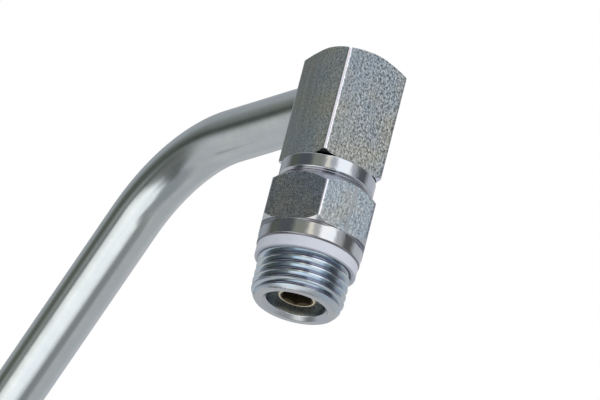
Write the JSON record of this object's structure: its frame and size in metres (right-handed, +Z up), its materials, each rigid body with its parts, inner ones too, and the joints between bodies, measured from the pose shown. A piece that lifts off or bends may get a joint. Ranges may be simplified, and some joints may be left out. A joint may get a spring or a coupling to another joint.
{
  "type": "swivel elbow with bent tube",
  "caption": "Hydraulic swivel elbow: a male threaded adapter with hexagon, on which a square elbow block with a bent steel tube turns freely.",
  "frame": {"origin": "centre of the port face, where the sealing washer's lower face meets the machine, on the swivel's axis", "axes": "+Z up the swivel's axis from the male thread to the elbow block; at rest the tube leaves the block along -X and bends down towards -Z"},
  "size_m": [0.1221, 0.027, 0.0694],
  "materials": {
    "plated_steel": "bright zinc plating on turned steel",
    "plated_bar": "zinc plating on drawn square bar, fine grain",
    "plated_tube": "satin zinc plating on drawn tube",
    "white_washer": "white moulded sealing plastic",
    "gold_spindle": "pale gold, turned",
    "bronze": "bearing bronze, bored",
    "hard_steel": "ground and hardened",
    "braze": "braze metal under zinc plating",
    "seal_rubber": "black nitrile rubber",
    "backup_plastic": "white back-up ring plastic"
  },
  "bodies": {
    "adapter": {"threaded_adapter": "plated_steel", "port_washer": "white_washer", "lower_bush": "bronze", "upper_bush": "bronze", "dust_seal": "seal_rubber", "pressure_backup_lower": "backup_plastic", "pressure_seal": "seal_rubber", "pressure_backup_upper": "backup_plastic", "guard_backup_lower": "backup_plastic", "guard_seal": "seal_rubber", "guard_backup_upper": "backup_plastic"},
    "elbow": {"elbow_block": "plated_bar", "hollow_spindle": "gold_spindle", "head_thrust_washer": "hard_steel", "block_thrust_washer": "hard_steel", "bent_tube": "plated_tube", "braze_fillet": "braze", "spindle_backup": "backup_plastic", "spindle_seal": "seal_rubber"}
  },
  "joints": [
    {"name": "swivel", "type": "hinge", "parent": "adapter", "child": "elbow", "pos_m": [0, 0, 0.0233], "axis": [0, 0, 1], "continuous": true}
  ]
}
